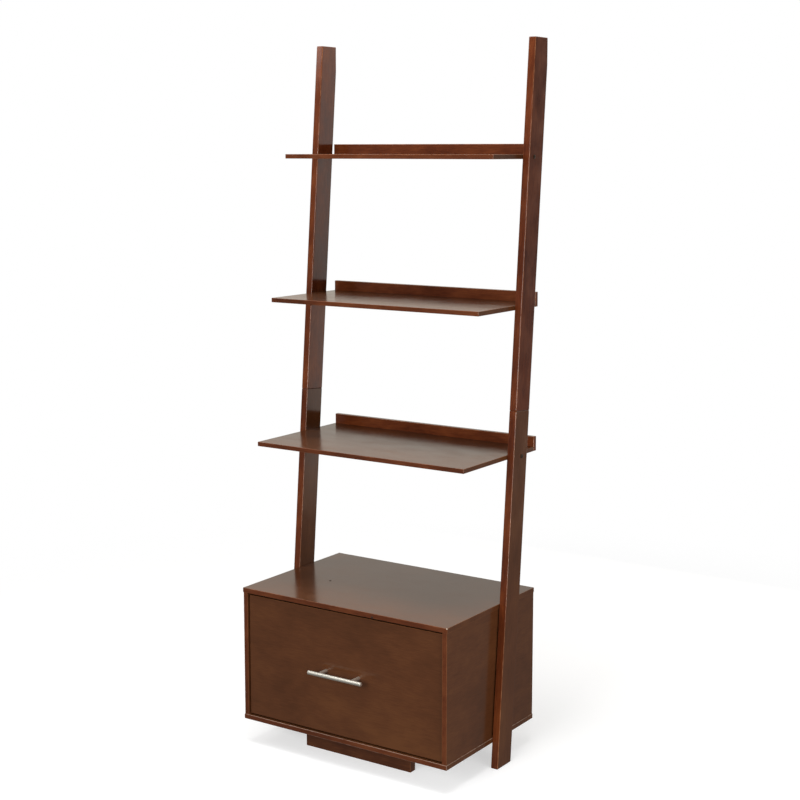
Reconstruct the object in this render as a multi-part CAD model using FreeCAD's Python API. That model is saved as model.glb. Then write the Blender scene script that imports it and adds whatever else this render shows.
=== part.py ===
"""Leaning ladder shelf with one deep drawer: two posts that lean on the wall, three
shelves between them and a drawer cabinet at the bottom.

Millimetres. +Z is up, +X is to the right of a person who faces the front, and +Y points
to the wall. The origin lies on the floor, in the middle of the outline seen from above.
"""

import FreeCAD, Part
import math
import os

from FreeCAD import Vector

# ---------------------------------------------------------------- driving dimensions

# boards
panel_t = 12.0                # cabinet panels
shelf_t = 11.0                # loose shelves
edge_round = 1.0              # eased edges of every visible board

# cabinet
cabinet_width = 600.0         # top and bottom panels
cabinet_depth = 405.0         # wall to front edge
cabinet_underside_z = 61.0
cabinet_top_z = 399.0
side_inset = 1.5              # side panels stand in from the ends of top and bottom
side_front_inset = 1.0        # and from their front edges
back_t = 6.0
back_from_wall = 8.0          # groove for the back panel, measured from the wall
groove_depth = 6.0
groove_clearance = 0.5        # room at the bottom of each groove

# posts
post_t = 19.0                 # width seen from the front
post_depth = 63.5             # square to the lean
post_round = 2.0              # the posts' long edges are eased more than the panels' edges
post_lean_deg = 4.88
post_front_from_wall = 206.9  # front face at the floor
post_top_z = 1740.0
post_seam_z = 863.0           # front edge of the joint between the two lengths
post_gap = 1.0                # between the ends of the cabinet top and each post

# shelves
shelf_top_z = (1466.5, 1111.5, 756.5)
shelf_depth = (217.0, 278.0, 339.0)     # with the rail
shelf_fixing_at = (0.34, 0.44, 0.58)    # share of the post's depth, from its front face
pinned_shelf = 1              # this shelf sits on hidden pins, the others are screwed
shelf_names = ("top", "middle", "lower")
rail_t = 12.0
rail_rise = 25.0              # above the shelf

# foot board under the cabinet
foot_board_width = 312.0
foot_board_t = 21.0
foot_board_front_from_wall = 338.0

# drawer
front_setback = 6.0           # behind the front edges of top and bottom
front_t = 15.0
front_gap_side = 2.5
front_gap_top = 5.5
front_gap_bottom = 4.0
box_board_t = 12.0
box_rear_gap = 18.0           # between the box and the back panel
box_height = 230.0
box_lift = 15.0               # underside of the box above the bottom edge of the front
box_bottom_t = 6.0
box_bottom_lift = 10.0
box_groove_depth = 5.0
file_rail_from_end = 8.5      # middle of each bar from the inner face of the box end
file_rail_t = 3.0
file_rail_height = 18.0
file_rail_proud = 2.0         # above the sides of the box
file_rail_seat = 8.0          # bearing in each side

# bar pull
bar_dia = 10.0
bar_length = 156.0
bar_centres = 96.0
bar_standoff = 32.0           # drawer face to the middle of the bar
bar_stem_dia = 9.0
bar_end_chamfer = 0.8
pull_z = 231.0

# drawer slides, one each side; in a slide, depth is measured from the cabinet side
slide_gap = 12.7
slide_z = 168.0
slide_front_gap = 2.0         # behind the back of the drawer front
travel_stop = 10.0            # the drawer stops this much short of the slide's length
outer_height = 45.0
outer_web_t = 1.2
outer_short = 2.2             # flange edge to the drawer box
lip_depth = 1.8
middle_t = 1.0
middle_short = 2.4
inner_web_t = 1.2
inner_t = 1.0
web_clearance = 0.6           # between the webs of neighbouring members and cages
race_gap = 3.0                # between facing races
ball_dia = 2.4
ball_pitch = 16.0
cage_t = 0.8
cage_lip_clearance = 0.3
cage_hole_clearance = 0.1
cage_margin = 15.0            # cage ends inside the races at both ends of the travel
inner_cage_t = 0.6
inner_cage_clearance = 0.7

# fasteners: shank diameter, head diameter and head height where a head stands proud
shelf_pin_dia = 6.0
shelf_pin_in_post = 11.0
shelf_pin_in_shelf = 22.0
shelf_screw = {"dia": 5.0, "length": 50.0, "head_dia": 10.0, "head_h": 1.6}
rail_screw = {"dia": 4.0, "length": 40.0, "head_dia": 8.0}
foot_screw = {"dia": 4.5, "length": 45.0, "head_dia": 9.0}
corner_screw = {"dia": 4.0, "length": 40.0, "head_dia": 8.0}
front_screw = {"dia": 4.0, "length": 24.0, "head_dia": 8.0, "head_h": 2.2}
slide_screw = {"dia": 3.6, "length": 11.0, "head_dia": 6.4}
pull_screw = {"dia": 4.0, "grip": 8.0, "head_dia": 8.0, "head_h": 2.4}
cabinet_bolt = {"dia": 6.0, "head_dia": 12.0, "head_h": 3.2}
insert_dia = 9.0
insert_length = 13.0
spacer_dia = 18.0
spacer_bore = 6.4
cam_dia = 12.0
cam_depth = 9.5
cam_from_end = 24.0
cam_slot = (8.0, 1.6, 1.5)
pin_dia = 5.0
pin_in_panel = 8.0
dowel_dia = 6.0
dowel_length = 24.0
dowel_in_panel = 8.0
dowel_from_cam = 32.0
cam_from_front = 48.0
cam_from_wall = 62.0
splice_pin_dia = 8.0
splice_pin_length = 80.0
splice_pin_spacing = 30.0
rail_screw_xs = (-240.0, 0.0, 240.0)
foot_screw_xs = (-110.0, 0.0, 110.0)
front_screw_inset = 62.0      # from the ends of the box front
box_screw_edge = 26.0         # from the top and bottom edges of the box
cabinet_bolt_edge = 38.0      # from the inside faces of top and bottom
slide_screw_ends = 34.0       # first and last screw from the ends of a slide

# ---------------------------------------------------------------- derived places

lean = math.radians(post_lean_deg)
post_depth_level = post_depth / math.cos(lean)
pull_reach = bar_standoff - front_setback + bar_dia / 2.0
overall_depth = cabinet_depth + pull_reach
wall_y = overall_depth / 2.0
front_y = wall_y - cabinet_depth

post_inner_x = cabinet_width / 2.0 + post_gap
post_outer_x = post_inner_x + post_t
shelf_half = post_inner_x
side_outer_x = cabinet_width / 2.0 - side_inset
side_inner_x = side_outer_x - panel_t
inside_low_z = cabinet_underside_z + panel_t
inside_high_z = cabinet_top_z - panel_t

front_face_y = front_y + front_setback
front_back_y = front_face_y + front_t
front_half = side_inner_x - front_gap_side
front_low_z = inside_low_z + front_gap_bottom
front_high_z = inside_high_z - front_gap_top
box_outer_x = side_inner_x - slide_gap
box_inner_x = box_outer_x - box_board_t
box_low_z = front_low_z + box_lift
box_high_z = box_low_z + box_height
box_rear_y = wall_y - back_from_wall - back_t - box_rear_gap
slide_front_y = front_back_y + slide_front_gap
slide_rear_y = box_rear_y
slide_length = slide_rear_y - slide_front_y
drawer_travel = slide_length - travel_stop
outer_reach = slide_gap - outer_short
outer_cage_from = outer_web_t + web_clearance
outer_cage_reach = outer_reach - outer_web_t - cage_lip_clearance
middle_web_from = outer_cage_from + cage_t + web_clearance
middle_reach = slide_gap - middle_short
inner_cage_from = middle_web_from + middle_t + web_clearance
inner_cage_reach = slide_gap - inner_web_t - inner_cage_clearance
inner_from = inner_cage_from + inner_cage_t + web_clearance
outer_ball_from = (middle_web_from + middle_t + outer_cage_reach) / 2.0
inner_ball_from = (inner_from + inner_cage_reach) / 2.0
cage_front_y = slide_front_y + drawer_travel / 4.0 + cage_margin
cage_length = slide_length - drawer_travel / 2.0 - 2.0 * cage_margin
ball_count = int((cage_length - ball_dia) / ball_pitch) + 1


def post_front_y(z):
    """Front face of a post at height z."""
    return wall_y - post_front_from_wall + z * math.tan(lean)


def post_rear_y(z):
    """Back face of a post at height z, before its plumb cut."""
    return post_front_y(z) + post_depth_level


def post_mid_y(z):
    """Middle of a post's side face at height z."""
    return post_front_y(z) + post_depth_level / 2.0


# ---------------------------------------------------------------- shape helpers

def block(x, y, z):
    """Box between two values on each axis, in any order."""
    low = Vector(min(x), min(y), min(z))
    size = [abs(pair[1] - pair[0]) for pair in (x, y, z)]
    return Part.makeBox(size[0], size[1], size[2], low)


def board(x, y, z, radius=edge_round):
    """Board with all its edges eased; the radius stays inside a third of the thinnest side."""
    solid = block(x, y, z)
    thinnest = min(abs(pair[1] - pair[0]) for pair in (x, y, z))
    return solid.makeFillet(min(radius, thinnest / 3.0), solid.Edges)


def rod(diameter, start, along, length):
    """Round rod from start along a direction."""
    return Part.makeCylinder(diameter / 2.0, length, Vector(*start), Vector(*along))


def cone(dia_start, dia_end, start, along, length):
    """Tapered rod from start along a direction."""
    return Part.makeCone(dia_start / 2.0, dia_end / 2.0, length, Vector(*start), Vector(*along))


def flush_screw(spec, start, along):
    """Countersunk screw whose flat head lies at start and whose shank runs along."""
    sink = (spec["head_dia"] - spec["dia"]) / 2.0
    head = cone(spec["head_dia"], spec["dia"], start, along, sink)
    shank = rod(spec["dia"], start, along, spec["length"])
    slot = drive_recess(start, along, spec["head_dia"] * 0.45, sink * 0.6)
    return head.fuse(shank).removeSplitter().cut(slot)


def proud_screw(spec, start, along, length):
    """Screw with a low round head that stands in front of start, with its shank along."""
    back = [-value for value in along]
    head = rod(spec["head_dia"], start, back, spec["head_h"])
    edge = [item for item in head.Edges if far_edge(item, start, spec["head_h"])]
    head = head.makeFillet(spec["head_h"] * 0.45, edge)
    shank = rod(spec["dia"], start, along, length)
    top = [start[i] + back[i] * spec["head_h"] for i in range(3)]
    slot = drive_recess(top, along, spec["head_dia"] * 0.4, spec["head_h"] * 0.6)
    return head.fuse(shank).removeSplitter().cut(slot)


def far_edge(edge, start, distance):
    """True for the closed rim of a head that lies the given distance from start."""
    if not edge.isClosed():
        return False
    centre = edge.CenterOfMass
    return abs((centre - Vector(*start)).Length - distance) < 1e-4


def drive_recess(start, along, width, depth):
    """Hexagonal driver recess, sunk from start along a direction."""
    direction = Vector(*along)
    across = Vector(0, 0, 1) if abs(direction.z) < 0.5 else Vector(1, 0, 0)
    other = direction.cross(across)
    points = []
    for step in range(7):
        angle = math.radians(60.0 * step)
        offset = across * (math.cos(angle) * width / 2.0) + other * (math.sin(angle) * width / 2.0)
        points.append(Vector(*start) + offset)
    return Part.Face(Part.makePolygon(points)).extrude(direction * depth)


def prism(points_yz, x_from, x_to):
    """Outline in the YZ plane, extruded between two X values."""
    corners = [Vector(x_from, y, z) for y, z in points_yz]
    face = Part.Face(Part.makePolygon(corners + corners[:1]))
    return face.extrude(Vector(x_to - x_from, 0, 0))


def cut_all(shape, tools):
    """Shape with every tool taken out of it; slugs inside driver recesses fall away."""
    for tool in tools:
        shape = shape.cut(tool)
    return max(shape.Solids, key=lambda solid: solid.Volume)


# ---------------------------------------------------------------- fastener places

def shelf_fixing_place(index):
    """Depth and height of the fixing at each end of a shelf, at the middle of the board."""
    z = shelf_top_z[index] - shelf_t / 2.0
    return post_front_y(z) + shelf_fixing_at[index] * post_depth_level, z


def shelf_screws():
    """Screws through both posts into the ends of the screwed shelves."""
    screws = []
    for index in range(len(shelf_names)):
        if index == pinned_shelf:
            continue
        y, z = shelf_fixing_place(index)
        for side in (-1.0, 1.0):
            start = (side * post_outer_x, y, z)
            screws.append(proud_screw(shelf_screw, start, (-side, 0, 0), shelf_screw["length"]))
    return screws


def shelf_pins():
    """Steel pins between both posts and the ends of the pinned shelf."""
    y, z = shelf_fixing_place(pinned_shelf)
    pins = []
    for side in (-1.0, 1.0):
        start = (side * (post_inner_x + shelf_pin_in_post), y, z)
        pins.append(rod(shelf_pin_dia, start, (-side, 0, 0), shelf_pin_in_post + shelf_pin_in_shelf))
    return pins


def rail_screws(index):
    """Screws through a back rail into the rear edge of its shelf."""
    z = shelf_top_z[index] - shelf_t / 2.0
    return [flush_screw(rail_screw, (x, wall_y, z), (0, -1, 0)) for x in rail_screw_xs]


def cabinet_bolt_places():
    """Height and depth of the two bolts on each side that tie the cabinet to a post."""
    heights = (inside_low_z + cabinet_bolt_edge, inside_high_z - cabinet_bolt_edge)
    return [(post_mid_y(z), z) for z in heights]


def cabinet_bolts():
    """Bolts from inside the cabinet into the posts."""
    bolts = []
    length = panel_t + side_inset + post_gap + insert_length - 1.0
    for y, z in cabinet_bolt_places():
        for side in (-1.0, 1.0):
            bolts.append(proud_screw(cabinet_bolt, (side * side_inner_x, y, z), (side, 0, 0), length))
    return bolts


def spacers():
    """Washers that fill the gap between the cabinet sides and the posts."""
    rings = []
    width = side_inset + post_gap
    for y, z in cabinet_bolt_places():
        for side in (-1.0, 1.0):
            start = (side * side_outer_x, y, z)
            ring = rod(spacer_dia, start, (side, 0, 0), width)
            rings.append(ring.cut(rod(spacer_bore, start, (side, 0, 0), width)))
    return rings


def post_inserts():
    """Threaded sleeves let into the inner faces of the posts."""
    sleeves = []
    for y, z in cabinet_bolt_places():
        for side in (-1.0, 1.0):
            start = (side * post_inner_x, y, z)
            sleeve = rod(insert_dia, start, (side, 0, 0), insert_length)
            sleeves.append(sleeve.cut(rod(cabinet_bolt["dia"], start, (side, 0, 0), insert_length)))
    return sleeves


def cabinet_joint_places():
    """Side, depth and end of every knock-down joint between side panels and top or bottom."""
    places = []
    for side in (-1.0, 1.0):
        for y, step in ((front_y + cam_from_front, 1.0), (wall_y - cam_from_wall, -1.0)):
            for panel_z, up in ((inside_high_z, 1.0), (inside_low_z, -1.0)):
                places.append((side, y, y + step * dowel_from_cam, panel_z, up))
    return places


def panel_mid_x(side):
    """Middle of a side panel's thickness."""
    return side * (side_inner_x + panel_t / 2.0)


def cam_locks():
    """Round cam locks let into the inner faces of the side panels."""
    cams = []
    for side, y, _, panel_z, up in cabinet_joint_places():
        centre = (side * side_inner_x, y, panel_z - up * cam_from_end)
        cam = rod(cam_dia, centre, (side, 0, 0), cam_depth)
        pin_room = rod(pin_dia, (panel_mid_x(side), y, centre[2]), (0, 0, up), cam_from_end)
        length, width, depth = cam_slot
        slot = block((centre[0], centre[0] + side * depth), (y - length / 2.0, y + length / 2.0),
                     (centre[2] - width / 2.0, centre[2] + width / 2.0))
        cams.append(cam.cut(pin_room).cut(slot))
    return cams


def cam_pins():
    """Steel pins from each cam lock into the top or bottom panel."""
    pins = []
    for side, y, _, panel_z, up in cabinet_joint_places():
        start = (panel_mid_x(side), y, panel_z - up * cam_from_end)
        pins.append(rod(pin_dia, start, (0, 0, up), cam_from_end + pin_in_panel))
    return pins


def cam_pockets():
    """Pockets for the cam locks."""
    pockets = []
    for side, y, _, panel_z, up in cabinet_joint_places():
        centre = (side * side_inner_x, y, panel_z - up * cam_from_end)
        pockets.append(rod(cam_dia, centre, (side, 0, 0), cam_depth))
    return pockets


def wood_dowels():
    """Dowels beside each cam lock."""
    dowels = []
    for side, _, y, panel_z, up in cabinet_joint_places():
        start = (panel_mid_x(side), y, panel_z + up * dowel_in_panel)
        dowels.append(rod(dowel_dia, start, (0, 0, -up), dowel_length))
    return dowels


def foot_screws():
    """Screws from inside the cabinet down into the foot board."""
    y = wall_y - foot_board_front_from_wall + foot_board_t / 2.0
    return [flush_screw(foot_screw, (x, y, inside_low_z), (0, 0, -1)) for x in foot_screw_xs]


# ---------------------------------------------------------------- ladder

def splice_pins(side):
    """Two steel pins in the joint between the lower and upper length of a post."""
    pins = []
    axis = Vector(0, math.sin(lean), math.cos(lean))
    across = Vector(0, math.cos(lean), -math.sin(lean))
    start = Vector(side * (post_inner_x + post_t / 2.0), post_front_y(post_seam_z), post_seam_z)
    for shift in (-0.5, 0.5):
        middle = start + across * (post_depth / 2.0 + shift * splice_pin_spacing)
        low = middle - axis * (splice_pin_length / 2.0)
        pins.append(rod(splice_pin_dia, (low.x, low.y, low.z), (axis.x, axis.y, axis.z), splice_pin_length))
    return pins


def posts(side):
    """Lower and upper length of one post, with a level foot and a plumb face at the wall."""
    x_pair = (side * post_inner_x, side * post_outer_x)
    plumb_z = (post_front_from_wall - post_depth_level) / math.tan(lean)
    drop = post_depth * math.sin(lean)
    seam_front = (post_front_y(post_seam_z), post_seam_z)
    seam_rear = (seam_front[0] + post_depth * math.cos(lean), post_seam_z - drop)
    lower = prism([(post_front_y(0), 0), (post_rear_y(0), 0), seam_rear, seam_front], *x_pair)
    upper = prism([seam_front, seam_rear, (wall_y, plumb_z), (wall_y, post_top_z),
                   (post_front_y(post_top_z), post_top_z)], *x_pair)
    lower = lower.makeFillet(post_round, lower.Edges)
    upper = upper.makeFillet(post_round, upper.Edges)
    bores = shelf_screws() + shelf_pins() + splice_pins(side)
    for y, z in cabinet_bolt_places():
        bores.append(rod(insert_dia, (side * post_inner_x, y, z), (side, 0, 0), insert_length))
    return cut_all(lower, bores), cut_all(upper, bores)


def ladder():
    """Posts, shelves and back rails."""
    parts = {}
    left_lower, left_upper = posts(-1.0)
    right_lower, right_upper = posts(1.0)
    parts["left_lower_post"] = left_lower
    parts["left_upper_post"] = left_upper
    parts["right_lower_post"] = right_lower
    parts["right_upper_post"] = right_upper
    parts["post_splice_pins"] = splice_pins(-1.0) + splice_pins(1.0)
    parts["shelf_screws"] = shelf_screws()
    parts["shelf_pins"] = shelf_pins()
    parts["rail_screws"] = []
    x_pair = (-shelf_half, shelf_half)
    for index, name in enumerate(shelf_names):
        top_z = shelf_top_z[index]
        underside_z = top_z - shelf_t
        screws = rail_screws(index)
        shelf = board(x_pair, (wall_y - shelf_depth[index], wall_y - rail_t), (underside_z, top_z))
        rail = board(x_pair, (wall_y - rail_t, wall_y), (underside_z, top_z + rail_rise))
        parts[name + "_shelf"] = cut_all(shelf, screws + shelf_screws() + shelf_pins())
        parts[name + "_shelf_rail"] = cut_all(rail, screws)
        parts["rail_screws"] += screws
    return parts


# ---------------------------------------------------------------- cabinet

def back_panel(clearance):
    """Back panel, or with no clearance the space its grooves leave."""
    reach = groove_depth - clearance
    y_pair = (wall_y - back_from_wall - back_t, wall_y - back_from_wall)
    return block((-side_inner_x - reach, side_inner_x + reach), y_pair,
                 (inside_low_z - reach, inside_high_z + reach))


def cabinet_side(side):
    """Side panel with its groove, cam pockets and bores."""
    solid = board((side * side_inner_x, side * side_outer_x),
                  (front_y + side_front_inset, wall_y), (inside_low_z, inside_high_z), 0.6)
    tools = [back_panel(0.0)] + cam_pockets() + cam_pins() + wood_dowels() + slide_screws(True)
    for y, z in cabinet_bolt_places():
        tools.append(rod(cabinet_bolt["dia"], (side * side_inner_x, y, z), (side, 0, 0), panel_t))
    return cut_all(solid, tools)


def cabinet():
    """Carcass, foot board and their fasteners."""
    parts = {}
    half = cabinet_width / 2.0
    y_pair = (front_y, wall_y)
    joints = [back_panel(0.0)] + cam_pins() + wood_dowels()
    top = board((-half, half), y_pair, (inside_high_z, cabinet_top_z))
    bottom = board((-half, half), y_pair, (cabinet_underside_z, inside_low_z))
    parts["cabinet_top"] = cut_all(top, joints)
    parts["cabinet_bottom"] = cut_all(bottom, joints + foot_screws())
    parts["cabinet_left_side"] = cabinet_side(-1.0)
    parts["cabinet_right_side"] = cabinet_side(1.0)
    parts["cabinet_back"] = back_panel(groove_clearance)
    parts["cabinet_cam_locks"] = cam_locks()
    parts["cabinet_cam_pins"] = cam_pins()
    parts["cabinet_dowels"] = wood_dowels()
    parts["cabinet_bolts"] = cabinet_bolts()
    parts["cabinet_spacers"] = spacers()
    parts["post_inserts"] = post_inserts()
    foot_front = wall_y - foot_board_front_from_wall
    foot = board((-foot_board_width / 2.0, foot_board_width / 2.0),
                 (foot_front, foot_front + foot_board_t), (0, cabinet_underside_z))
    parts["foot_board"] = cut_all(foot, foot_screws())
    parts["foot_board_screws"] = foot_screws()
    return parts


# ---------------------------------------------------------------- drawer

def box_bottom(clearance):
    """Bottom of the drawer box, or with no clearance the space its grooves leave."""
    reach = box_groove_depth - clearance
    low = box_low_z + box_bottom_lift
    y_low = front_back_y + box_board_t - reach
    y_high = box_rear_y - box_board_t + reach
    return block((-box_inner_x - reach, box_inner_x + reach), (y_low, y_high), (low, low + box_bottom_t))


def file_rail(end):
    """Flat bar for hanging files; end is -1 for the front bar and 1 for the rear one."""
    box_mid = (front_back_y + box_rear_y) / 2.0
    box_half = (box_rear_y - front_back_y) / 2.0
    y = box_mid + end * (box_half - box_board_t - file_rail_from_end)
    half = box_inner_x + file_rail_seat
    high = box_high_z + file_rail_proud
    y_pair = (y - file_rail_t / 2.0, y + file_rail_t / 2.0)
    return block((-half, half), y_pair, (high - file_rail_height, high))


def corner_screws():
    """Screws through the box sides into the ends of the box front and back."""
    screws = []
    ys = (front_back_y + box_board_t / 2.0, box_rear_y - box_board_t / 2.0)
    zs = (box_low_z + box_screw_edge, box_high_z - box_screw_edge)
    for side in (-1.0, 1.0):
        for y in ys:
            for z in zs:
                screws.append(flush_screw(corner_screw, (side * box_outer_x, y, z), (-side, 0, 0)))
    return screws


def front_screws():
    """Screws from inside the box that hold the drawer front."""
    screws = []
    y = front_back_y + box_board_t
    for side in (-1.0, 1.0):
        for z in (box_low_z + 2.0 * box_screw_edge, box_high_z - 2.0 * box_screw_edge):
            start = (side * (box_inner_x - front_screw_inset), y, z)
            screws.append(proud_screw(front_screw, start, (0, -1, 0), front_screw["length"]))
    return screws


def pull_screws():
    """Machine screws from inside the box into the stems of the pull."""
    screws = []
    length = box_board_t + front_t + pull_screw["grip"]
    for side in (-1.0, 1.0):
        start = (side * bar_centres / 2.0, front_back_y + box_board_t, pull_z)
        screws.append(proud_screw(pull_screw, start, (0, -1, 0), length))
    return screws


def pull():
    """Bar and its two stems."""
    bar_y = front_face_y - bar_standoff
    bar = rod(bar_dia, (-bar_length / 2.0, bar_y, pull_z), (1, 0, 0), bar_length)
    rims = [edge for edge in bar.Edges if edge.isClosed()]
    bar = bar.makeChamfer(bar_end_chamfer, rims)
    stems = []
    for side in (-1.0, 1.0):
        stem = rod(bar_stem_dia, (side * bar_centres / 2.0, front_face_y, pull_z), (0, -1, 0), bar_standoff)
        stems.append(cut_all(stem, [bar] + pull_screws()))
    return bar, stems


def drawer():
    """Drawer front, box, bars for hanging files and pull."""
    parts = {}
    bottom_groove = box_bottom(0.0)
    front = board((-front_half, front_half), (front_face_y, front_back_y), (front_low_z, front_high_z))
    parts["drawer_front"] = cut_all(front, front_screws() + pull_screws())
    z_pair = (box_low_z, box_high_z)
    ends = {
        "drawer_box_front": (front_back_y, front_back_y + box_board_t),
        "drawer_box_back": (box_rear_y - box_board_t, box_rear_y),
    }
    fixings = [bottom_groove] + corner_screws() + front_screws() + pull_screws()
    for name, y_pair in ends.items():
        end = block((-box_inner_x, box_inner_x), y_pair, z_pair)
        parts[name] = cut_all(end, fixings)
    for side, name in ((-1.0, "drawer_left_side"), (1.0, "drawer_right_side")):
        solid = block((side * box_inner_x, side * box_outer_x), (front_back_y, box_rear_y), z_pair)
        tools = [bottom_groove, file_rail(-1), file_rail(1)] + corner_screws() + slide_screws(False)
        parts[name] = cut_all(solid, tools)
    parts["drawer_bottom"] = box_bottom(groove_clearance)
    parts["front_file_rail"] = file_rail(-1)
    parts["rear_file_rail"] = file_rail(1)
    parts["drawer_corner_screws"] = corner_screws()
    parts["drawer_front_screws"] = front_screws()
    parts["pull_bar"], parts["pull_stems"] = pull()
    parts["pull_screws"] = pull_screws()
    return parts


# ---------------------------------------------------------------- drawer slides

def slide_block(side, across, upright, along):
    """Block in slide coordinates: across from the cabinet side, upright from the slide's middle."""
    x_pair = [side * (side_inner_x - value) for value in across]
    return block(x_pair, along, [slide_z + value for value in upright])


def channel(side, web, flange, height, thickness, along):
    """Channel from a web and two flanges, all in slide coordinates."""
    half = height / 2.0
    shape = slide_block(side, web, (-half, half), along)
    for sign in (-1.0, 1.0):
        shape = shape.fuse(slide_block(side, flange, (sign * (half - thickness), sign * half), along))
    return shape.removeSplitter()


def middle_height():
    """Height of the middle member, a race gap inside the outer one."""
    return outer_height - 2.0 * outer_web_t - 2.0 * race_gap


def inner_height():
    """Height of the inner member, a race gap inside the middle one."""
    return middle_height() - 2.0 * middle_t - 2.0 * race_gap


def outer_member(side):
    """Channel on the cabinet side, with a small lip along each flange."""
    along = (slide_front_y, slide_rear_y)
    shape = channel(side, (0, outer_web_t), (0, outer_reach), outer_height, outer_web_t, along)
    inside = outer_height / 2.0 - outer_web_t
    for sign in (-1.0, 1.0):
        lip = slide_block(side, (outer_reach - outer_web_t, outer_reach),
                          (sign * (inside - lip_depth), sign * inside), along)
        shape = shape.fuse(lip)
    return cut_all(shape.removeSplitter(), slide_screws(True))


def middle_member(side):
    """Channel that runs half as far as the drawer."""
    along = (slide_front_y, slide_rear_y)
    web = (middle_web_from, middle_web_from + middle_t)
    return channel(side, web, (middle_web_from, middle_reach), middle_height(), middle_t, along)


def inner_member(side):
    """Channel on the drawer box, open towards the cabinet side."""
    along = (slide_front_y, slide_rear_y)
    web = (slide_gap - inner_web_t, slide_gap)
    shape = channel(side, web, (inner_from, slide_gap), inner_height(), inner_t, along)
    return cut_all(shape, slide_screws(False))


def ball_rows(side, race_half, ball_from, diameter):
    """Balls of one cage, in a row above and a row below."""
    balls = []
    first = cage_front_y + (cage_length - ball_pitch * (ball_count - 1)) / 2.0
    for sign in (-1.0, 1.0):
        for index in range(ball_count):
            centre = Vector(side * (side_inner_x - ball_from), first + index * ball_pitch,
                            slide_z + sign * race_half)
            balls.append(Part.makeSphere(diameter / 2.0, centre))
    return balls


def cage(side, web_from, web_t, reach, race_half, ball_from):
    """Thin channel that carries two rows of balls in round holes."""
    along = (cage_front_y, cage_front_y + cage_length)
    height = 2.0 * race_half + cage_t
    shape = channel(side, (web_from, web_from + web_t), (web_from, reach), height, cage_t, along)
    return cut_all(shape, ball_rows(side, race_half, ball_from, ball_dia + cage_hole_clearance))


def slide_screws(on_cabinet):
    """Flush screws of the slides, in the cabinet sides or in the sides of the drawer box."""
    screws = []
    middle = (slide_front_y + slide_rear_y) / 2.0
    ys = (slide_front_y + slide_screw_ends, middle, slide_rear_y - slide_screw_ends)
    for side in (-1.0, 1.0):
        for y in ys:
            if on_cabinet:
                start = (side * (side_inner_x - outer_web_t), y, slide_z)
                screws.append(flush_screw(slide_screw, start, (side, 0, 0)))
            else:
                start = (side * (box_outer_x + inner_web_t), y, slide_z)
                screws.append(flush_screw(slide_screw, start, (-side, 0, 0)))
    return screws


def slides():
    """Both telescopic slides and their screws."""
    parts = {}
    outer_race = outer_height / 2.0 - outer_web_t - race_gap / 2.0
    inner_race = middle_height() / 2.0 - middle_t - race_gap / 2.0
    for side, name in ((-1.0, "left"), (1.0, "right")):
        parts[name + "_slide_outer"] = outer_member(side)
        parts[name + "_slide_middle"] = middle_member(side)
        parts[name + "_slide_inner"] = inner_member(side)
        parts[name + "_outer_cage"] = cage(side, outer_cage_from, cage_t, outer_cage_reach,
                                           outer_race, outer_ball_from)
        parts[name + "_inner_cage"] = cage(side, inner_cage_from, inner_cage_t, inner_cage_reach,
                                           inner_race, inner_ball_from)
        parts[name + "_outer_balls"] = ball_rows(side, outer_race, outer_ball_from, ball_dia)
        parts[name + "_inner_balls"] = ball_rows(side, inner_race, inner_ball_from, ball_dia)
    parts["slide_cabinet_screws"] = slide_screws(True)
    parts["slide_drawer_screws"] = slide_screws(False)
    return parts


# ---------------------------------------------------------------- export

def main():
    """Write one STEP file per named piece."""
    os.makedirs("parts", exist_ok=True)
    pieces = {}
    for group in (ladder(), cabinet(), drawer(), slides()):
        pieces.update(group)
    for name, shape in pieces.items():
        if isinstance(shape, list):
            shape = Part.makeCompound(shape)
        shape.exportStep("parts/" + name + ".step")
        print(name, len(shape.Solids), "solids", round(shape.Volume / 1000.0, 1), "cm3")
    print(len(pieces), "nodes")


main()
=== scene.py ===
# %% [markdown]
# # A leaning ladder shelf
# Two wooden posts lean on a wall and carry three shelves that get deeper downwards. A
# cabinet with one deep drawer stands between their feet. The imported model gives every
# board, screw and slide its true size and place. This lesson gives them their finish:
# walnut-stained wood under satin lacquer, satin nickel, zinc plate, birch plywood, dark
# fibreboard and beech.
# Everything is in metres, with Z up, X to the right of a person who faces the drawer, and
# Y towards the wall.

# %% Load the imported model
import bmesh
import bpy
import math
from mathutils import Matrix, Vector


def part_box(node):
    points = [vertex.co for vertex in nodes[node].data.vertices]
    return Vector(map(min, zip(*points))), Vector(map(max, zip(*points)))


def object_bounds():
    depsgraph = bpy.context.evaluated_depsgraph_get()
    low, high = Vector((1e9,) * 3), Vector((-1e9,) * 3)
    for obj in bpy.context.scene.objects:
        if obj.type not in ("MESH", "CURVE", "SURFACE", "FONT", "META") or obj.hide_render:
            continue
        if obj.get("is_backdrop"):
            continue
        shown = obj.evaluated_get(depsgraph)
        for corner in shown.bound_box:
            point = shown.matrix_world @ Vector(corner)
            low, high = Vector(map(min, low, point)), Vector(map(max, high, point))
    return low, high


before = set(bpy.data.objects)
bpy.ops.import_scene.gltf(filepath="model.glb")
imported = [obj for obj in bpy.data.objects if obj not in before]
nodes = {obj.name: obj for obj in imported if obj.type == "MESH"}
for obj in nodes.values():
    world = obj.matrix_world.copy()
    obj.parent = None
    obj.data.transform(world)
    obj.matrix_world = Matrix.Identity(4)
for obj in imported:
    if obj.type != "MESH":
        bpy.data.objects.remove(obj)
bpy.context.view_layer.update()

# %% [markdown]
# Colours are written as hex values, as a paint chart gives them, but a shader counts in
# linear light. One function turns the first into the second.

# %% Colours
def linear(hex_colour):
    """A hex colour as linear red, green, blue and alpha."""
    channels = [int(hex_colour[i:i + 2], 16) / 255.0 for i in (1, 3, 5)]
    return tuple(c / 12.92 if c <= 0.04045 else ((c + 0.055) / 1.055) ** 2.4 for c in channels) + (1.0,)


print("walnut stain:", linear("#5a3826"))

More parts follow.
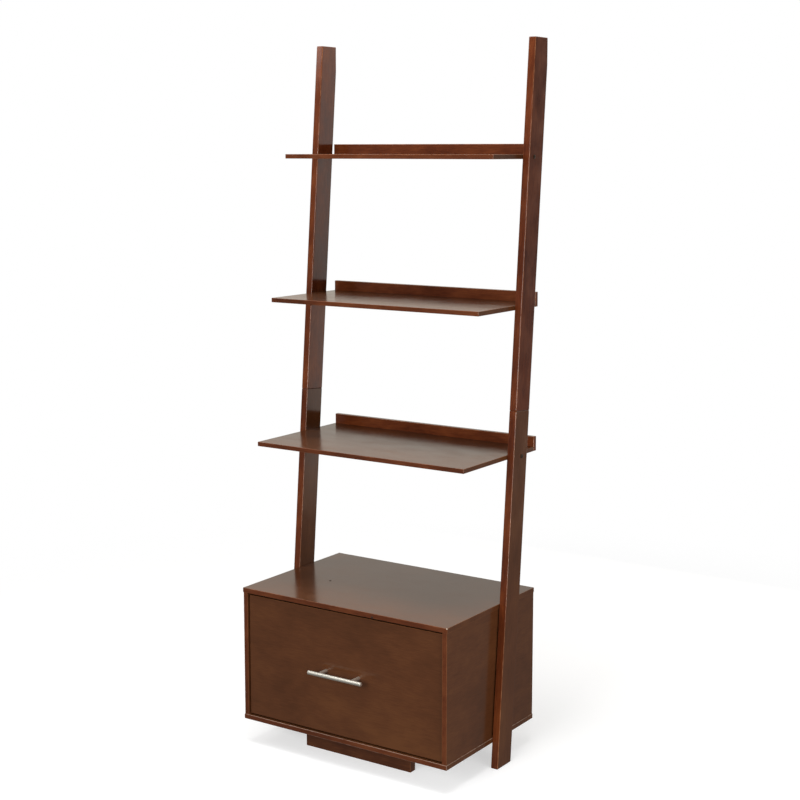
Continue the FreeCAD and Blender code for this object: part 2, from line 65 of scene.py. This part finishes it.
# %% [markdown]
# A material is a small graph. Every node in it is added the same way: its kind, its
# settings, and what goes into its inputs, which is either a value or another node's output.

# %% Adding a node
def add(material, kind, inputs=None, **settings):
    """Adds one node to a material. An input takes a value, or a socket to link."""
    tree = material.node_tree
    node = tree.nodes.new("ShaderNode" + kind)
    for name, value in settings.items():
        setattr(node, name, value)
    for key, value in (inputs or {}).items():
        if isinstance(value, bpy.types.NodeSocket):
            tree.links.new(value, node.inputs[key])
        else:
            node.inputs[key].default_value = value
    return node


def new_material(name):
    """An empty material and the node that its surface goes into."""
    material = bpy.data.materials.new(name)
    material.use_nodes = True
    material.node_tree.nodes.clear()
    return material


def surface(material, shader):
    """Sends a shader to the material's surface."""
    add(material, "OutputMaterial", {"Surface": shader.outputs[0]})
    return material


def ramp(material, factor, stops):
    """A colour ramp from pairs of place and hex colour."""
    node = add(material, "ValToRGB", {"Fac": factor})
    band = node.color_ramp
    while len(band.elements) < len(stops):
        band.elements.new(1.0)
    for element, (place, colour) in zip(band.elements, stops):
        element.position = place
        element.color = linear(colour)
    return node


# %% [markdown]
# ## Walnut stain under satin lacquer
# The boards are a pale close-grained hardwood, wiped with a dark walnut stain and sprayed
# with a satin lacquer. The stain settles in the pores as fine dark streaks, takes up
# unevenly in soft blotches, and is thin along every sanded edge, where the wood shows
# through as a warmer line. Along the arrises of the posts, the rails and the ledge under
# the drawer, that line is painted paler still, as a painted highlight. The lacquer mirrors
# its surroundings at a low angle and hardly at all face on, which a plain dielectric shader
# does by itself.
#
# Each board gets its own copy, because the grain runs along the board and the edge line of
# wear and painted highlight lies on the board's own box. A Mapping node moves the pattern to
# the board's middle and, for a leaning post, turns it upright first.
#
# Four noises make the tone: pores, growth bands, blotches of stain and a slow drift. Their
# amounts add up to one, and a colour ramp turns the sum into stain. The boards' front edges
# are narrow strips of solid wood that took the stain redder than the faces did.

# %% How the stain varies
PORES_PER_M = 700.0           # pores about 1.5 mm apart, coarser than real so that they show
PORE_STRETCH = 0.05           # and twenty times as long as wide
PORE_SHARE = 0.26
FIGURE_PER_M = 45.0           # growth bands about 20 mm wide
FIGURE_STRETCH = 0.35
FIGURE_SHARE = 0.14
BLOTCH_PER_M = 24.0           # blotches of stain about 40 mm across
BLOTCH_STRETCH = 0.6
BLOTCH_SHARE = 0.28
DRIFT_PER_M = 5.0             # and a slow drift of tone over 200 mm
DRIFT_STRETCH = 0.8
DRIFT_SHARE = 0.32
SEED_SHIFT = (1.7, 0.9, 2.3)  # what one seed moves the pattern by
TONE_STOPS = (0.38, 0.50, 0.62)    # sums that give the dark, the middle and the pale tone
NOISE_LOW = 0.3               # a noise seldom leaves this range
NOISE_HIGH = 0.7
print("shares of tone:", PORE_SHARE + FIGURE_SHARE + BLOTCH_SHARE + DRIFT_SHARE)

# %% Tones, wear, painted highlights and gloss
FRONT_LAYER = 0.001           # the front edge's own tone shows 1 mm in from the front
FRONT_CORE = 0.4              # and is at its fullest over this share of it
EDGE_WEAR_AND_HIGHLIGHT = 0.0012            # thin stain, and on some boards a painted highlight, reaches about 1.2 mm in from an edge
WEAR_AND_HIGHLIGHT_PER_M = 60.0             # and its reach changes every 17 mm
PANEL_STAIN = ("#4b2b17", "#55311b", "#5f391f")
LIPPING_STAIN = ("#43200f", "#582b15", "#6b3a1f")
SOLID_STAIN = ("#441c0c", "#5c2b14", "#733b1d")
PANEL_WORN = (0.55, "#8f5a36")     # share and tone of the bare line along an edge
LEDGE_PAINTED_HIGHLIGHT = (0.75, "#ad9584")     # a painted highlight: the front arris of the ledge under the drawer is painted pale
# on the posts and rails the pale edge line is part wear and part a painted highlight on the rounded
# arris
SOLID_WEAR_AND_HIGHLIGHT = (0.85, "#b27a54")
PANEL_GLOSS = 0.18            # roughness of the lacquer
SOLID_GLOSS = 0.14
GLOSS_BELOW = 0.03            # it varies with the blotches, from this much below
GLOSS_ABOVE = 0.05            # to this much above
LACQUER_IOR = 1.42
PORE_RELIEF = 0.05            # the lacquer nearly fills the pores
RELIEF_DEPTH = 0.0001         # 0.1 mm
print("panel stain:", PANEL_STAIN, "solid stain:", SOLID_STAIN)

# %% The stained wood of one board
def stained_wood(name, low, high, grain, seed, faces, edges, wear_and_highlight_tone, roughness, lean=0.0):
    """Stained, lacquered wood for one board, from its box, its grain axis, its tones and its lean."""
    material = new_material(name)
    middle = (Vector(low) + Vector(high)) / 2.0
    half = (Vector(high) - Vector(low)) / 2.0
    turn = Matrix.Rotation(lean, 3, "X")
    coords = add(material, "TexCoord")
    board = add(material, "Mapping", {
        "Vector": coords.outputs["Object"],
        "Location": -(turn @ middle),
        "Rotation": (lean, 0.0, 0.0),
    })

    def stretched(amount):
        """The board's coordinates, pulled out along the grain."""
        scale = [1.0, 1.0, 1.0]
        scale[grain] = amount
        shift = [seed * step for step in SEED_SHIFT]
        return add(material, "Mapping", {
            "Vector": board.outputs[0], "Location": shift, "Scale": scale,
        }).outputs[0]

    pores = add(material, "TexNoise", {
        "Vector": stretched(PORE_STRETCH), "Scale": PORES_PER_M, "Detail": 2.0, "Roughness": 0.5,
    })
    figure = add(material, "TexNoise", {
        "Vector": stretched(FIGURE_STRETCH), "Scale": FIGURE_PER_M, "Detail": 4.0, "Roughness": 0.6,
    })
    blotch = add(material, "TexNoise", {
        "Vector": stretched(BLOTCH_STRETCH), "Scale": BLOTCH_PER_M, "Detail": 3.0, "Roughness": 0.55,
    })
    drift = add(material, "TexNoise", {
        "Vector": stretched(DRIFT_STRETCH), "Scale": DRIFT_PER_M, "Detail": 1.0, "Roughness": 0.5,
    })
    total = add(material, "Math", {0: pores.outputs["Fac"], 1: PORE_SHARE}, operation="MULTIPLY")
    for noise, share in ((figure, FIGURE_SHARE), (blotch, BLOTCH_SHARE), (drift, DRIFT_SHARE)):
        total = add(material, "Math", {0: noise.outputs["Fac"], 1: share, 2: total.outputs[0]},
                    operation="MULTIPLY_ADD")
    face = ramp(material, total.outputs[0], tuple(zip(TONE_STOPS, faces)))
    lipping = ramp(material, total.outputs[0], tuple(zip(TONE_STOPS, edges)))
    # how far a point lies inside each pair of the board's faces
    away = add(material, "VectorMath", {0: board.outputs[0]}, operation="ABSOLUTE")
    inside = add(material, "VectorMath", {0: tuple(half), 1: away.outputs[0]}, operation="SUBTRACT")
    axes = add(material, "SeparateXYZ", {0: inside.outputs[0]})
    # the front face, a thin layer at the board's low Y
    depth = add(material, "SeparateXYZ", {0: board.outputs[0]})
    front = add(material, "MapRange", {
        "Value": depth.outputs[1],
        "From Min": FRONT_LAYER * FRONT_CORE - half.y, "From Max": FRONT_LAYER - half.y,
        "To Min": 1.0, "To Max": 0.0,
    })
    colour = add(material, "Mix", {
        "Factor": front.outputs[0], "A": face.outputs[0], "B": lipping.outputs[0],
    }, data_type="RGBA")
    # the second-smallest of the three is zero only on an edge
    x, y, z = axes.outputs
    nearer = add(material, "Math", {0: x, 1: y}, operation="MINIMUM")
    farther = add(material, "Math", {0: x, 1: y}, operation="MAXIMUM")
    capped = add(material, "Math", {0: farther.outputs[0], 1: z}, operation="MINIMUM")
    second = add(material, "Math", {0: nearer.outputs[0], 1: capped.outputs[0]}, operation="MAXIMUM")
    # a pale line along each edge: thin stain, and on the posts, rails and ledge also a painted
    # highlight
    uneven = add(material, "TexNoise", {"Vector": board.outputs[0], "Scale": WEAR_AND_HIGHLIGHT_PER_M, "Detail": 3.0})
    reach = add(material, "Math", {0: uneven.outputs["Fac"], 1: EDGE_WEAR_AND_HIGHLIGHT * 2.0}, operation="MULTIPLY")
    wear_and_highlight = add(material, "MapRange", {
        "Value": second.outputs[0], "From Min": 0.0, "From Max": reach.outputs[0],
        "To Min": wear_and_highlight_tone[0], "To Max": 0.0,
    })
    mixed = add(material, "Mix", {
        "Factor": wear_and_highlight.outputs[0], "A": colour.outputs[2], "B": linear(wear_and_highlight_tone[1]),
    }, data_type="RGBA")
    gloss = add(material, "MapRange", {
        "Value": blotch.outputs["Fac"], "From Min": NOISE_LOW, "From Max": NOISE_HIGH,
        "To Min": roughness - GLOSS_BELOW, "To Max": roughness + GLOSS_ABOVE,
    })
    bump = add(material, "Bump", {
        "Height": pores.outputs["Fac"], "Strength": PORE_RELIEF, "Distance": RELIEF_DEPTH,
    })
    shader = add(material, "BsdfPrincipled", {
        "Base Color": mixed.outputs[2],
        "Roughness": gloss.outputs[0],
        "IOR": LACQUER_IOR,
        "Normal": bump.outputs[0],
    })
    return surface(material, shader)


# %% [markdown]
# Which way the grain runs is a joiner's choice: along the length of every board. The posts
# lean, so their pattern is turned back by the lean before it is used. The number beside each
# panel is the axis of its grain: 0 from side to side, 1 from front to back, 2 upright.

# %% Stain every board
POST_LEAN = math.radians(4.88)
POST_DEPTH = 0.0635           # square to the lean
POST_REACH = 10.0             # far past both ends, so that no end wears in the middle of a post
FOOT_STAIN_WITH_PAINTED_SHADE = ("#3c1d0e", "#4c2815", "#5c341c")     # the foot board's tones are painted darker, as shade under the cabinet
PANELS = {
    "top_shelf": 0, "middle_shelf": 0, "lower_shelf": 0, "cabinet_top": 0, "cabinet_bottom": 0,
    "cabinet_left_side": 1, "cabinet_right_side": 1, "drawer_front": 0,
}
SOLIDS = ("top_shelf_rail", "middle_shelf_rail", "lower_shelf_rail")
POSTS = ("left_lower_post", "left_upper_post", "right_lower_post", "right_upper_post")
dressed = set()


def dress(name, material):
    """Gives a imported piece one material."""
    slots = nodes[name].data.materials
    slots.clear()
    slots.append(material)
    dressed.add(name)


for seed, (name, grain) in enumerate(PANELS.items()):
    low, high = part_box(name)
    front_edge = PANEL_STAIN if name == "drawer_front" else LIPPING_STAIN
    # the ledge under the drawer gets a painted highlight along its edges, the other panels real edge
    # wear
    wear_and_highlight = LEDGE_PAINTED_HIGHLIGHT if name == "cabinet_bottom" else PANEL_WORN
    dress(name, stained_wood("walnut_stained_veneer_" + name, low, high, grain, seed + 1.0,
                             PANEL_STAIN, front_edge, wear_and_highlight, PANEL_GLOSS))
for seed, name in enumerate(SOLIDS):
    low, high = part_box(name)
    dress(name, stained_wood("walnut_stained_hardwood_" + name, low, high, 0, seed + 10.0,
                             SOLID_STAIN, SOLID_STAIN, SOLID_WEAR_AND_HIGHLIGHT, SOLID_GLOSS))
# the foot board's stain is painted darker, as the shade under the cabinet's overhang
low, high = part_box("foot_board")
dress("foot_board", stained_wood("hardwood_foot_board_with_painted_shade", low, high, 0, 15.0,
                                 FOOT_STAIN_WITH_PAINTED_SHADE, FOOT_STAIN_WITH_PAINTED_SHADE, PANEL_WORN, SOLID_GLOSS))
foot_front_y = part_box("left_lower_post")[0][1]
for seed, name in enumerate(POSTS):
    low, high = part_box(name)
    middle = (Vector(low) + Vector(high)) / 2.0
    middle.y = foot_front_y + middle.z * math.tan(POST_LEAN) + POST_DEPTH / 2.0 / math.cos(POST_LEAN)
    half = Vector(((high[0] - low[0]) / 2.0, POST_DEPTH / 2.0, POST_REACH))
    sides = PANEL_STAIN if "lower" in name else SOLID_STAIN
    dress(name, stained_wood("walnut_stained_hardwood_" + name, middle - half, middle + half, 2,
                             seed + 20.0, sides, SOLID_STAIN, SOLID_WEAR_AND_HIGHLIGHT, SOLID_GLOSS, lean=POST_LEAN))
print("stained boards:", len(dressed))

# %% [markdown]
# ## Marks of use
# The cabinet's top has a few small marks: a dark speck in the lacquer, a dark spot under the
# front edge, a corner rubbed through to pale wood and a second speck near the rear corner.
# Each is a small ball-shaped spot of another tone, mixed over the stain where it touches
# the surface. Its place is in metres and lies on the board's surface or just inside it.

# %% Specks, a nick and a rubbed corner
SPOT_CORE = 0.4               # share of a spot's radius that is at full strength
SPOT_STRENGTH = 0.9
SPOT_ROUGHNESS = 0.95         # the lacquer is gone there


def blemish(name, place, radius, tone):
    """A small spot of another tone on a stained board."""
    material = nodes[name].data.materials[0]
    shader = next(n for n in material.node_tree.nodes if n.type == "BSDF_PRINCIPLED")
    stain = shader.inputs["Base Color"].links[0].from_socket
    coords = add(material, "TexCoord")
    reach = add(material, "VectorMath", {0: coords.outputs["Object"], 1: place}, operation="DISTANCE")
    spot = add(material, "MapRange", {
        "Value": reach.outputs["Value"], "From Min": radius * SPOT_CORE, "From Max": radius,
        "To Min": SPOT_STRENGTH, "To Max": 0.0,
    })
    mixed = add(material, "Mix", {"Factor": spot.outputs[0], "A": stain, "B": linear(tone)},
                data_type="RGBA")
    polish = shader.inputs["Roughness"].links[0].from_socket
    dull = add(material, "Mix", {"Factor": spot.outputs[0], "A": polish, "B": SPOT_ROUGHNESS})
    material.node_tree.links.new(mixed.outputs[2], shader.inputs["Base Color"])
    material.node_tree.links.new(dull.outputs[0], shader.inputs["Roughness"])


SPECK = (-0.1553, -0.0175, 0.3990)
REAR_SPECK = (0.3070, 0.1948, 0.3990)
# a near-black spot under the top's front edge
FRONT_EDGE_DARK_SPOT = (0.0918, -0.1870, 0.3895)
RUBBED_CORNER = (0.2990, -0.1865, 0.3985)
BLEMISHES = (
    (SPECK, 0.0045, "#150a05"),
    (REAR_SPECK, 0.0035, "#1c0e07"),
    (FRONT_EDGE_DARK_SPOT, 0.0042, "#120804"),
    (RUBBED_CORNER, 0.0023, "#d8c4ae"),
)
for place, radius, tone in BLEMISHES:
    blemish("cabinet_top", place, radius, tone)
print("blemishes:", len(BLEMISHES))

# %% [markdown]
# ## Metal and plywood
# The bar pull is steel with satin nickel plate: bright, slightly warm, with reflections
# drawn out by fine brushing. Screws, cams and slides are steel with zinc plate, cooler and
# duller, and the shelf screws are bronzed dark because their heads show. The balls are
# polished. The drawer box is birch plywood under clear lacquer, the back panel a dark
# laminated fibreboard and the dowels bare beech. Real brushing is about a tenth of a
# millimetre apart. It is drawn ten times as coarse, so that it shows.

# %% Metals
def metal(name, colour, roughness, stretch, grit_per_m, spread=0.06, relief=0.05):
    """Plated steel with brushing marks: stretch gives their direction, grit their spacing."""
    material = new_material(name)
    coords = add(material, "TexCoord")
    marks = add(material, "Mapping", {"Vector": coords.outputs["Object"], "Scale": stretch})
    noise = add(material, "TexNoise", {
        "Vector": marks.outputs[0], "Scale": grit_per_m, "Detail": 2.0, "Roughness": 0.5,
    })
    gloss = add(material, "MapRange", {
        "Value": noise.outputs["Fac"], "From Min": NOISE_LOW, "From Max": NOISE_HIGH,
        "To Min": roughness - spread, "To Max": roughness + spread,
    })
    shade = ramp(material, noise.outputs["Fac"], ((NOISE_LOW, colour[0]), (NOISE_HIGH, colour[1])))
    bump = add(material, "Bump", {
        "Height": noise.outputs["Fac"], "Strength": relief, "Distance": RELIEF_DEPTH,
    })
    shader = add(material, "BsdfPrincipled", {
        "Base Color": shade.outputs[0], "Metallic": 1.0, "Roughness": gloss.outputs[0],
        "Normal": bump.outputs[0],
    })
    return surface(material, shader)


satin_nickel = metal("satin_nickel_plate", ("#dfdbcf", "#e4e0d4"), 0.44, (0.01, 1.0, 1.0), 1200.0,
                     spread=0.02, relief=0.004)
zinc_plate = metal("zinc_plated_steel", ("#a3a8ab", "#c2c6c8"), 0.34, (1.0, 1.0, 1.0), 900.0)
rolled_zinc = metal("zinc_plated_rolled_steel", ("#a9adae", "#c6c9ca"), 0.30, (1.0, 0.04, 1.0), 1400.0)
bronzed = metal("dark_bronzed_steel", ("#3a2a22", "#54402f"), 0.38, (1.0, 1.0, 1.0), 900.0)
ball_steel = metal("polished_bearing_steel", ("#c6cacd", "#d6dadd"), 0.08, (1.0, 1.0, 1.0), 900.0,
                   spread=0.02)
METALS = {
    "pull_bar": satin_nickel, "pull_stems": satin_nickel, "shelf_screws": bronzed,
    "front_file_rail": rolled_zinc, "rear_file_rail": rolled_zinc,
}
for name in nodes:
    if name in METALS:
        dress(name, METALS[name])
    elif name.endswith("_balls"):
        dress(name, ball_steel)
    elif "slide_" in name or name.endswith("_cage"):
        dress(name, rolled_zinc)
    elif any(word in name for word in ("screws", "pins", "cam_locks", "bolts", "spacers", "inserts")):
        dress(name, zinc_plate)
print("metals:", [m.name for m in (satin_nickel, zinc_plate, rolled_zinc, bronzed, ball_steel)])

# %% Plywood, fibreboard and beech
STREAK_STOPS = (0.3, 0.55, 0.75)   # where the dark, the middle and the pale streaks lie
STREAK_RELIEF = 0.1
STREAK_DEPTH = 0.0002         # 0.2 mm
CLEAR_LACQUER_IOR = 1.5


def plain_wood(name, tones, stretch, per_m, roughness):
    """Undyed wood or board: streaks of one tone over another, along the long side of the stretch."""
    material = new_material(name)
    coords = add(material, "TexCoord")
    along = add(material, "Mapping", {"Vector": coords.outputs["Object"], "Scale": stretch})
    streak = add(material, "TexNoise", {
        "Vector": along.outputs[0], "Scale": per_m, "Detail": 4.0, "Roughness": 0.6,
    })
    colour = ramp(material, streak.outputs["Fac"], tuple(zip(STREAK_STOPS, tones)))
    bump = add(material, "Bump", {
        "Height": streak.outputs["Fac"], "Strength": STREAK_RELIEF, "Distance": STREAK_DEPTH,
    })
    shader = add(material, "BsdfPrincipled", {
        "Base Color": colour.outputs[0], "Roughness": roughness, "IOR": CLEAR_LACQUER_IOR,
        "Normal": bump.outputs[0],
    })
    return surface(material, shader)


birch_across = plain_wood("birch_plywood_across", ("#b98f5f", "#cfa877", "#dcbb8c"),
                          (0.04, 1.0, 1.0), 300.0, 0.42)
birch_deep = plain_wood("birch_plywood_deep", ("#b58a5a", "#cba473", "#d9b788"),
                        (1.0, 0.04, 1.0), 300.0, 0.42)
dark_board = plain_wood("dark_laminated_fibreboard", ("#2f1d15", "#3d271c", "#4a3022"),
                        (1.0, 1.0, 0.05), 260.0, 0.5)
beech = plain_wood("bare_beech", ("#b9905f", "#cfa878", "#dcb98c"), (1.0, 1.0, 0.08), 900.0, 0.6)
for name in ("drawer_box_front", "drawer_box_back", "drawer_bottom"):
    dress(name, birch_across)
for name in ("drawer_left_side", "drawer_right_side"):
    dress(name, birch_deep)
dress("cabinet_back", dark_board)
dress("cabinet_dowels", beech)
print("pieces without a finish:", sorted(set(nodes) - dressed))

# %% [markdown]
# ## Floor
# The shelf stands on a pale floor in a white studio. A round floor that fades out towards
# its rim leaves no horizon line. It glows a little, as a translucent panel lit from below
# does, which keeps the shadow on it faint. The object neither mirrors it nor is lit by it.

# %% Floor
FLOOR_RADIUS = 2.4
FLOOR_SEGMENTS = 96
FLOOR_SOLID = 0.5             # from here outwards it fades
FLOOR_GREY = (0.55, 0.55, 0.55, 1.0)
FLOOR_ROUGHNESS = 0.9
FLOOR_GLOW = 0.55


def make_floor():
    """A pale disc whose rim fades away."""
    shape = bmesh.new()
    bmesh.ops.create_circle(shape, cap_ends=True, segments=FLOOR_SEGMENTS, radius=FLOOR_RADIUS)
    mesh = bpy.data.meshes.new("floor")
    shape.to_mesh(mesh)
    shape.free()
    floor = bpy.data.objects.new("floor", mesh)
    bpy.context.scene.collection.objects.link(floor)
    material = new_material("pale_matt_floor")
    coords = add(material, "TexCoord")
    distance = add(material, "VectorMath", {0: coords.outputs["Object"]}, operation="LENGTH")
    fade = add(material, "MapRange", {
        "Value": distance.outputs["Value"], "From Min": FLOOR_SOLID, "From Max": FLOOR_RADIUS,
    }, interpolation_type="SMOOTHSTEP")
    paper = add(material, "BsdfPrincipled", {
        "Base Color": FLOOR_GREY, "Roughness": FLOOR_ROUGHNESS,
        "Emission Color": (1.0, 1.0, 1.0, 1.0), "Emission Strength": FLOOR_GLOW,
    })
    nothing = add(material, "BsdfTransparent")
    blend = add(material, "MixShader", {
        0: fade.outputs[0], 1: paper.outputs[0], 2: nothing.outputs[0],
    })
    mesh.materials.append(surface(material, blend))
    floor.visible_glossy = False
    floor.visible_diffuse = False
    return floor


make_floor()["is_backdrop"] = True
print("floor radius:", FLOOR_RADIUS)

# %% [markdown]
# ## Light
# The paper behind the object is bright, and the room in front of it is dimmer. The tops of
# the boards mirror the paper and look pale, while the front faces mirror the room and keep
# their deep colour. A key lamp in front and a lamp overhead give the colour its light, with
# weaker lamps at the right and the left. A narrow lamp behind draws a sheen on the faces
# that are turned to the right. Places are in metres and powers in watts.

# %% Light
ROOM_LEVEL = 0.17             # brightness of the room that the object mirrors
BACKDROP_COLOUR = (1.0, 0.91, 0.77)
BACKDROP_LEVEL = 0.56         # and of the paper behind it
BACKDROP_LEFT = -3.4
BACKDROP_RIGHT = 1.15
BACKDROP_TOP = 2.9
BACKDROP_Y = 1.9


def make_world():
    """A dim room, with white paper wherever the camera looks past the object."""
    world = bpy.data.worlds.new("studio")
    bpy.context.scene.world = world
    world.use_nodes = True
    world.node_tree.nodes.clear()
    path = add(world, "LightPath")
    room = add(world, "Background", {"Color": (1.0, 1.0, 1.0, 1.0), "Strength": ROOM_LEVEL})
    paper = add(world, "Background", {"Color": (1.0, 1.0, 1.0, 1.0), "Strength": 1.0})
    seen = add(world, "MixShader", {
        0: path.outputs["Is Camera Ray"], 1: room.outputs[0], 2: paper.outputs[0],
    })
    add(world, "OutputWorld", {"Surface": seen.outputs[0]})


def softbox(name, place, target, width, height, power, colour=(1.0, 1.0, 1.0)):
    """A large rectangular lamp that faces a point."""
    lamp = bpy.data.lights.new(name, "AREA")
    lamp.shape = "RECTANGLE"
    lamp.size = width
    lamp.size_y = height
    lamp.energy = power
    lamp.color = colour
    holder = bpy.data.objects.new(name, lamp)
    bpy.context.scene.collection.objects.link(holder)
    holder.location = place
    holder.rotation_euler = (Vector(target) - Vector(place)).to_track_quat("-Z", "Y").to_euler()
    holder.visible_camera = False
    return holder


def backdrop():
    """The paper behind the object, as a lamp of even brightness that the camera doesn't see."""
    width = BACKDROP_RIGHT - BACKDROP_LEFT
    middle = (BACKDROP_LEFT + BACKDROP_RIGHT) / 2.0
    height = BACKDROP_TOP
    power = BACKDROP_LEVEL * math.pi * width * height
    place = (middle, BACKDROP_Y, height / 2.0)
    softbox("backdrop", place, (middle, 0.0, height / 2.0), width, height, power,
            BACKDROP_COLOUR)


make_world()
backdrop()
softbox("key_softbox", (0.2, -3.3, 1.4), (0.0, 0.0, 0.6), 1.4, 1.4, 74.0)
softbox("overhead_softbox", (0.1, -0.4, 3.4), (0.0, 0.0, 0.0), 1.8, 1.2, 70.0)
softbox("fill_softbox", (1.9, -0.6, 0.5), (0.0, 0.0, 0.3), 1.2, 0.9, 21.0)
softbox("rim_softbox", (0.84, 1.85, 1.2), (0.0, 0.0, 0.9), 0.36, 2.2, 1.3)
softbox("left_softbox", (-1.9, -1.3, 2.6), (0.0, -0.2, 0.3), 1.2, 1.2, 16.0)

# %% [markdown]
# ## Camera
# The camera stands to the right of the shelf, a little below the height of its top, and
# looks slightly down. The lens is shifted, as a view camera's is, to bring the whole height
# into the frame.

# %% Camera
SENSOR = 36.0                 # mm
LENS = 69.5835                # mm
CAMERA = Vector((2.1106, -3.0647, 1.4768))
TURN = math.radians(33.98)
DOWN = math.radians(7.59)
SHIFT_Y = -0.055


def make_camera():
    """The camera, level from side to side, to the right of the shelf and above its middle."""
    lens = bpy.data.cameras.new("camera")
    lens.lens = LENS
    lens.sensor_width = SENSOR
    lens.shift_y = SHIFT_Y
    lens.clip_end = 50.0
    camera = bpy.data.objects.new("camera", lens)
    bpy.context.scene.collection.objects.link(camera)
    ahead = Vector((-math.sin(TURN) * math.cos(DOWN), math.cos(TURN) * math.cos(DOWN), -math.sin(DOWN)))
    camera.location = CAMERA
    camera.rotation_euler = ahead.to_track_quat("-Z", "Y").to_euler()
    bpy.context.scene.camera = camera


make_camera()
print("camera:", tuple(CAMERA), "lens:", LENS)
bpy.context.scene.view_settings.view_transform = "Standard"

# %% Sizes, then the end
low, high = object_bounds()
